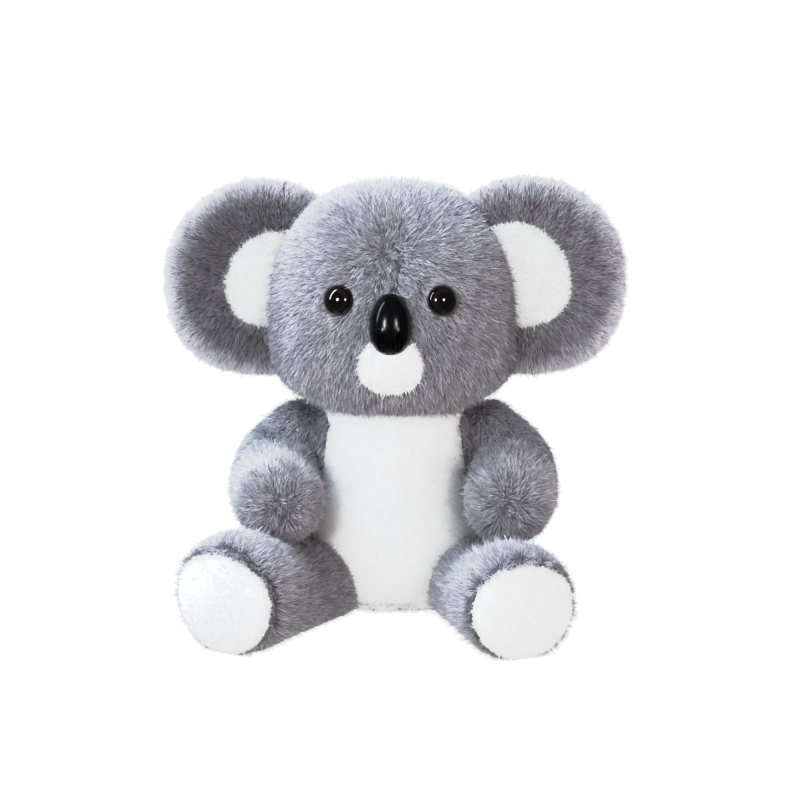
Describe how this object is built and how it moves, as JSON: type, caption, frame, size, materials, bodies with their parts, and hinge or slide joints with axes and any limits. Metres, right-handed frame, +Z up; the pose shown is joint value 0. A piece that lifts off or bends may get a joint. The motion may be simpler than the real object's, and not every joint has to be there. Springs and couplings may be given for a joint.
{
  "type": "plush koala",
  "caption": "Seated plush koala with large round ears, long grey pile, pale belly, muzzle and soles, glossy eyes and a moulded nose; head, ears, arms and legs flex at their seams.",
  "frame": {"origin": "middle of the flat seat, on the surface that the koala sits on", "axes": "+Z up; the koala faces -Y; +X points to its left side"},
  "size_m": [0.225, 0.1638, 0.2137],
  "materials": {
    "grey_pile": "matte",
    "white_pile": "matte",
    "fibre_fill": "matte",
    "eye_plastic": "gloss",
    "nose_plastic": "satin",
    "washer_plastic": "satin",
    "sewing_thread": "matte",
    "pouch_canvas": "matte"
  },
  "bodies": {
    "torso": {"back_skin": "grey_pile", "belly_panel": "white_pile", "torso_stuffing": "fibre_fill", "pellet_pouch": "pouch_canvas"},
    "neck": {"neck_thread": "sewing_thread"},
    "head": {"head_skin": "grey_pile", "muzzle_patch": "white_pile", "head_stuffing": "fibre_fill", "right_eye": "eye_plastic", "left_eye": "eye_plastic", "right_eye_washer": "washer_plastic", "left_eye_washer": "washer_plastic", "nose": "nose_plastic", "nose_washer": "washer_plastic"},
    "right_ear": {"right_ear_skin": "grey_pile", "right_ear_patch": "white_pile", "right_ear_stuffing": "fibre_fill"},
    "left_ear": {"left_ear_skin": "grey_pile", "left_ear_patch": "white_pile", "left_ear_stuffing": "fibre_fill"},
    "right_arm": {"right_arm_skin": "grey_pile", "right_arm_stuffing": "fibre_fill"},
    "left_arm": {"left_arm_skin": "grey_pile", "left_arm_stuffing": "fibre_fill"},
    "right_leg": {"right_leg_skin": "grey_pile", "right_sole_patch": "white_pile", "right_leg_stuffing": "fibre_fill"},
    "left_leg": {"left_leg_skin": "grey_pile", "left_sole_patch": "white_pile", "left_leg_stuffing": "fibre_fill"}
  },
  "joints": [
    {"name": "neck_nod", "type": "hinge", "parent": "torso", "child": "neck", "pos_m": [0, 0, 0.08], "axis": [1, 0, 0], "range_deg": [-8, 8], "stiffness_Nm_per_rad": 0.6},
    {"name": "neck_turn", "type": "hinge", "parent": "neck", "child": "head", "pos_m": [0, 0, 0.08], "axis": [0, 0, 1], "range_deg": [-20, 20], "stiffness_Nm_per_rad": 0.3},
    {"name": "right_ear_flap", "type": "hinge", "parent": "head", "child": "right_ear", "pos_m": [-0.056, 0.009, 0.1635], "axis": [0.1736, 0, 0.9848], "range_deg": [-12, 12], "stiffness_Nm_per_rad": 0.06},
    {"name": "left_ear_flap", "type": "hinge", "parent": "head", "child": "left_ear", "pos_m": [0.056, -0.005, 0.1662], "axis": [0.1736, 0, -0.9848], "range_deg": [-12, 12], "stiffness_Nm_per_rad": 0.06},
    {"name": "right_arm_swing", "type": "hinge", "parent": "torso", "child": "right_arm", "pos_m": [-0.0367, 0, 0.0845], "axis": [-1, 0, 0], "range_deg": [0, 35], "stiffness_Nm_per_rad": 0.06},
    {"name": "left_arm_swing", "type": "hinge", "parent": "torso", "child": "left_arm", "pos_m": [0.0367, 0, 0.0845], "axis": [-1, 0, 0], "range_deg": [0, 35], "stiffness_Nm_per_rad": 0.06},
    {"name": "right_leg_splay", "type": "hinge", "parent": "torso", "child": "right_leg", "pos_m": [-0.034, -0.024, 0.0185], "axis": [0, 0, -1], "range_deg": [-8, 12], "stiffness_Nm_per_rad": 0.2},
    {"name": "left_leg_splay", "type": "hinge", "parent": "torso", "child": "left_leg", "pos_m": [0.034, -0.024, 0.0185], "axis": [0, 0, 1], "range_deg": [-8, 12], "stiffness_Nm_per_rad": 0.2}
  ]
}
